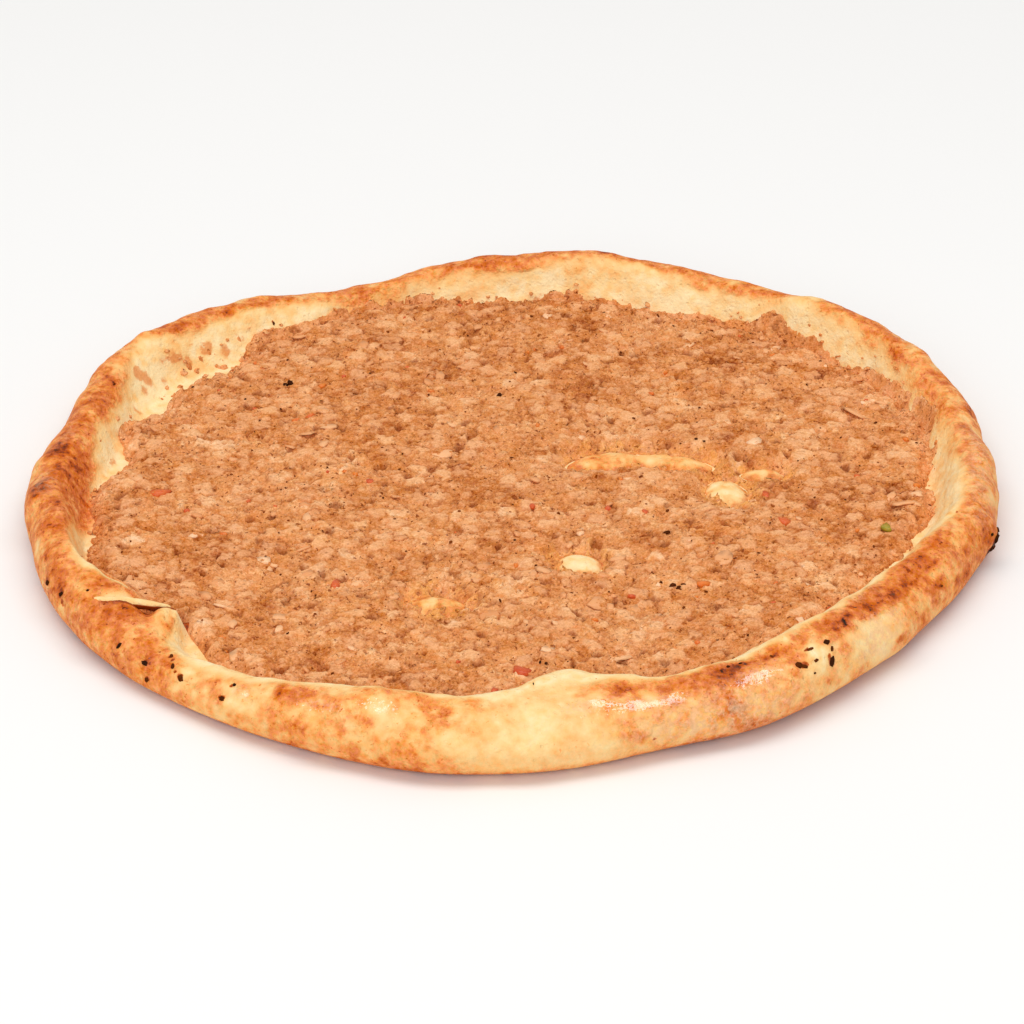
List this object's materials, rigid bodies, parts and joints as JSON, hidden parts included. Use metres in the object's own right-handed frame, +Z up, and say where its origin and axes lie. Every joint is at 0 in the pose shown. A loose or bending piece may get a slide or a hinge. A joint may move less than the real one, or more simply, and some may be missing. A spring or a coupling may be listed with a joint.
{
  "type": "lahmacun",
  "caption": "Nearly round thin flatbread with a rolled, blistered rim, spread with baked minced meat, onion and pepper.",
  "frame": {"origin": "under the middle of the bread's outline, on the surface that it rests on", "axes": "+X along the longest extent, to the right of the main view; +Y away from the viewer; +Z up, through the mince"},
  "size_m": [0.281, 0.2748, 0.0203],
  "materials": {
    "crust": "baked wheat dough, cream to orange-brown with dark scorch marks, oily satin",
    "mince": "baked minced meat, rough and slightly oily",
    "onion": "cooked onion, pale and slightly translucent, moist",
    "pepper": "cooked red and green pepper, moist",
    "char": "ground black pepper and burnt flecks, dry"
  },
  "bodies": {
    "root": {"crust": "crust", "mince_topping": "mince"}
  },
  "joints": []
}
